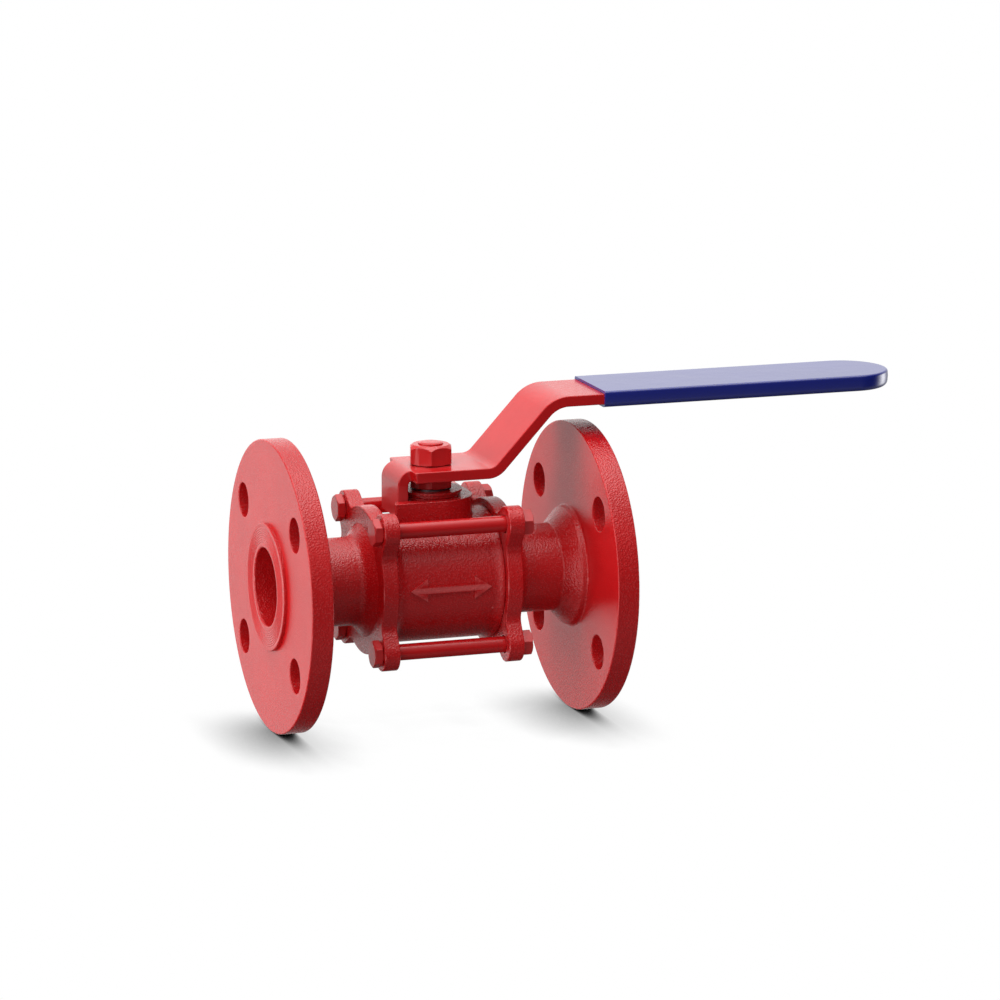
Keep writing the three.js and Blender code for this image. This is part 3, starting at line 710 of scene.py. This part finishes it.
def build_seals():
    """The seat rings as new pieces. The washer, packing and body seals keep their CAD solids."""
    sphere, front, back, inner, outer = 19.15, 11.0, 18.5, 12.7, 17.1
    hollow = arc((0, 0), sphere, math.acos(inner / sphere), math.asin(front / sphere), 10)
    edge = 0.3
    for end, turn in (("right", 0.0), ("left", math.pi)):
        seat = lathe(f"seat_ring_{end}_piece", [
            *hollow, (outer - edge, front), (outer, front + edge), (outer, back), (inner, back),
        ], "X", 120)
        seat.data.transform(Matrix.Rotation(turn, 4, "Z"))
        settled(seat, "casing", "seal_white", SEAL, "seat_ring_" + end)
    packed = [f"packing_ring_{i}" for i in range(1, 4)]
    for name in ("thrust_washer", "body_seal_left", "body_seal_right", *packed):
        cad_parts[name].data.materials[0] = SEAL


# ------------------------------------------------------------------ lever


def bent_path(corners, bends):
    """Middle line of a bent strip: ("run", start, direction, length) for each straight stretch and
    ("bend", centre, arm to its start, angle) for each arc between two of them."""
    runs = []
    start = Vector(corners[0])
    for i in range(1, len(corners)):
        corner = Vector(corners[i])
        into = (corner - start).normalized()
        if i == len(corners) - 1:
            runs.append(("run", start, into, (corner - start).length))
            break
        out = (Vector(corners[i + 1]) - corner).normalized()
        turn = math.atan2(into.cross(out), into.dot(out))
        reach = bends[i - 1] * math.tan(abs(turn) / 2)
        end = corner - into * reach
        runs.append(("run", start, into, (end - start).length))
        left = Vector((-into.y, into.x))
        centre = end + left * math.copysign(bends[i - 1], turn)
        runs.append(("bend", centre, end - centre, turn))
        start = corner + out * reach
    return runs


def run_length(run):
    """Length of one row of bent_path along the middle line."""
    kind, _, arm, amount = run
    return amount if kind == "run" else arm.length * abs(amount)


def path_point(runs, distance):
    """Place and left-hand normal on the middle line at a distance from its start."""
    for run in runs:
        length = run_length(run)
        if distance <= length or run is runs[-1]:
            break
        distance -= length
    kind, origin, arm, amount = run
    if kind == "run":
        return origin + arm * distance, Vector((-arm.y, arm.x))
    turned = Matrix.Rotation(amount * distance / length, 2) @ arm
    return origin + turned, -turned.normalized() * math.copysign(1, amount)


def rounded_bar(half_width, half_height, edge, steps=4):
    """Cross-section of the strip: a rectangle with rounded corners."""
    edge = min(edge, 0.9 * half_width)
    points = []
    for k, (sign_y, sign_z) in enumerate(((1, -1), (1, 1), (-1, 1), (-1, -1))):
        centre = (sign_y * (half_width - edge), sign_z * (half_height - edge))
        points += arc(centre, edge, QUARTER * (k - 1), QUARTER * k, steps)
    return points


def lever_widths(step_at, length):
    """Distance along the strip and half width there, through tab, step, blade and round tip."""
    hollow, corner = 1.2, 0.7                             # the step's two radii
    rows = [(0.0, TAB_HALF)]
    turns = [QUARTER * k / 6 for k in range(7)]
    rows += [(step_at - hollow * (1 - math.sin(a)), TAB_HALF + hollow * (1 - math.cos(a))) for a in turns]
    rows += [(step_at + corner * (1 - math.cos(a)), LEVER_HALF - corner * (1 - math.sin(a))) for a in turns]
    rows += [(length - LEVER_HALF * (1 - math.sin(a)), LEVER_HALF * math.cos(a))
             for a in (QUARTER * k / 16 for k in range(16))]
    return rows


def build_lever():
    """One strip, swept along its bent middle line with a section at every station."""
    runs = bent_path([
        (TAB_X, TAB_BOTTOM), (TAB_X, DECK_Z), (CRANK_START, DECK_Z), (CRANK_END, GRIP_Z),
        (LEVER_TIP, GRIP_Z)], (TAB_BEND, DECK_BEND, GRIP_BEND))
    lengths = [run_length(run) for run in runs]
    step_at = lengths[0] + lengths[1] - (TAB_X + TAB_BEND - WIDE_START)
    widths = lever_widths(step_at, sum(lengths))
    stations = list(widths)
    travelled, closest = 0.0, 0.15                        # nearer stations would make slivers
    for run, length in zip(runs, lengths):
        parts = 14 if run[0] == "bend" else 1
        for k in range(1, parts + 1):
            at = travelled + length * k / parts
            crowded = any(abs(distance - at) < closest for distance, _ in widths)
            if not crowded and at < sum(lengths) - LEVER_HALF:
                passed = [half_width for distance, half_width in widths if distance <= at]
                stations.append((at, passed[-1]))
        travelled += length
    stations.sort(key=lambda row: (round(row[0], 4), row[1]))
    rings = []
    for distance, half_width in stations:
        middle, normal = path_point(runs, distance)
        rings.append([
            (middle.x + normal.x * n, y, middle.y + normal.y * n)
            for y, n in rounded_bar(half_width, LEVER_THICK / 2, 0.45)])
    lever = skin("lever_piece", rings)
    hole_radius = STEM_RADIUS + 3 * GAP
    hole = lathe("lever_hole", [
        (hole_radius, DECK_Z - LEVER_THICK), (hole_radius, DECK_Z + LEVER_THICK)], "Z", 64, loop=False)
    combined(lever, "DIFFERENCE", hole)
    settled(lever, "stem_and_handle", "red_paint", SMOOTH, "handle_lever", sharp=35)


def grip_outline(start, growth, steps=64):
    """Plan of the grip, the given distance outside the lever's edge."""
    half = LEVER_HALF + growth
    return [(start, -half), *arc((LEVER_TIP - LEVER_HALF, 0), half, -QUARTER, QUARTER, steps),
            (start, half)]


def build_sleeve():
    """The vinyl is dipped, so it is thin and tight above and hangs fuller round the lower edge."""
    half = LEVER_THICK / 2 + SLEEVE_GROWTH
    upper, lower, bulge, steps = 0.9, 2.2, 0.12, 8
    turns = [QUARTER * k / steps for k in range(steps + 1)]
    levels = [(lower * (1 - math.sin(a)) + bulge, -half + lower * (1 - math.cos(a))) for a in turns]
    levels += [(0.0, 0.5 * (lower - upper))]
    levels += [(upper * (1 - math.cos(a)) + bulge, half - upper * (1 - math.sin(a))) for a in turns]
    outline = spaced(grip_outline(SLEEVE_START - 4, SLEEVE_GROWTH), 6.0)
    sleeve = skin("sleeve_piece", [
        [(x, y, GRIP_Z + rise) for x, y in inset(outline, distance)] for distance, rise in levels])
    inside = LEVER_THICK / 2 + GAP
    core = prism("sleeve_core", grip_outline(SLEEVE_START - 5, GAP),
                 GRIP_Z - inside, GRIP_Z + inside)
    reach = 2 * LEVER_HALF
    waste = prism("sleeve_waste", [
        (SLEEVE_START - reach, -reach), (SLEEVE_START, -reach), (SLEEVE_START, reach),
        (SLEEVE_START - reach, reach)], GRIP_Z - reach, GRIP_Z + reach)
    combined(sleeve, "DIFFERENCE", core, waste)
    settled(sleeve, "stem_and_handle", "blue_grip", VINYL, "handle_sleeve")


# ------------------------------------------------------------------ the room


def build_room():
    """A plain white floor that glows and is not lit, with a painted shadow: darker only where the valve
    hides the light that comes from behind.
    """
    half, depth = 9.0, 1.0                                # in metres
    edge = [(-half, -half), (half, -half), (half, half), (-half, half)]
    floor = skin("floor", [[(x, y, z) for x, y in edge] for z in (-depth, 0.0)])
    pale, tree, shader = new_material("pale_floor")
    shader.inputs["Base Color"].default_value = (0.0, 0.0, 0.0, 1.0)
    shader.inputs["Specular IOR Level"].default_value = 0.0
    # Painted shadow: ambient occlusion towards the light behind darkens the floor's glow near the valve.
    behind = node(tree, "ShaderNodeCombineXYZ", dict(zip("XYZ", SHADOW_FROM)))
    painted_shadow = node(tree, "ShaderNodeAmbientOcclusion", {
        "Distance": SHADOW_REACH * MM, "Normal": behind.outputs["Vector"]}, samples=32)
    black, white = 0.4, 0.93                              # how open the floor is where it ends so
    glow = spread(tree, painted_shadow.outputs["AO"], black, white, 0.0, 1.0)
    tree.links.new(glow, shader.inputs["Emission Color"])
    shader.inputs["Emission Strength"].default_value = 1.0
    floor.data.materials.append(pale)
    floor.visible_diffuse = False
    floor.visible_glossy = False
    floor.visible_shadow = False


def build_sky():
    """White where the camera looks. The light itself comes from a few broad soft boxes."""
    world = bpy.data.worlds.new("sky")
    world.use_nodes = True
    bpy.context.scene.world = world
    tree = world.node_tree
    tree.nodes.clear()
    direction = node(tree, "ShaderNodeTexCoord").outputs["Generated"]
    total = None
    for azimuth, elevation, strength, bundling in SOFT_BOXES:
        across, up = math.radians(azimuth), math.radians(elevation)
        towards = (math.sin(across) * math.cos(up), math.cos(across) * math.cos(up), math.sin(up))
        aligned = node(tree, "ShaderNodeVectorMath", {0: direction, 1: towards}, operation="DOT_PRODUCT")
        ahead = node(tree, "ShaderNodeMath", {0: aligned.outputs["Value"], 1: 0.0}, operation="MAXIMUM")
        lobe = node(tree, "ShaderNodeMath", {0: ahead.outputs["Value"], 1: bundling}, operation="POWER")
        glow = node(tree, "ShaderNodeMath", {
            0: lobe.outputs["Value"], 1: strength, 2: total or 0.0}, operation="MULTIPLY_ADD")
        total = glow.outputs["Value"]
    light = node(tree, "ShaderNodeBackground", {"Color": (1.0, 1.0, 1.0, 1.0), "Strength": total})
    white = node(tree, "ShaderNodeBackground", {"Color": (1.0, 1.0, 1.0, 1.0), "Strength": 1.0})
    seen = node(tree, "ShaderNodeLightPath").outputs["Is Camera Ray"]
    mix = node(tree, "ShaderNodeMixShader", {"Fac": seen})
    tree.links.new(light.outputs["Background"], mix.inputs[1])
    tree.links.new(white.outputs["Background"], mix.inputs[2])
    node(tree, "ShaderNodeOutputWorld", {"Surface": mix.outputs["Shader"]})
    bpy.context.scene.view_settings.view_transform = "Standard"


def build_camera():
    """Long lens, a little to the left of the front and above the valve."""
    azimuth, elevation, roll = math.radians(-19.17), math.radians(12.13), math.radians(0.22)
    distance, right_shift, up_shift = 1831.1, 25.6, 27.6
    focal_length, sensor_width = 178.85, 36.0
    back = Vector((math.sin(azimuth) * math.cos(elevation),
                   -math.cos(azimuth) * math.cos(elevation), math.sin(elevation)))
    right = Vector((math.cos(azimuth), math.sin(azimuth), 0.0))
    up = back.cross(right)
    right, up = (right * math.cos(roll) + up * math.sin(roll),
                 up * math.cos(roll) - right * math.sin(roll))
    lens = bpy.data.cameras.new("camera")
    lens.lens = focal_length
    lens.sensor_width = sensor_width
    lens.clip_end = 100.0
    camera = bpy.data.objects.new("camera", lens)
    place = CENTRE + (back * distance + right * right_shift + up * up_shift) * MM
    camera.matrix_world = Matrix.Translation(place) @ Matrix((right, up, back)).transposed().to_4x4()
    bpy.context.scene.collection.objects.link(camera)
    bpy.context.scene.camera = camera


build_caps()
build_body()
build_tie_bolts()
build_stem()
build_gland()
build_ball()
build_seals()
build_lever()
build_sleeve()
build_room()
build_sky()
build_camera()
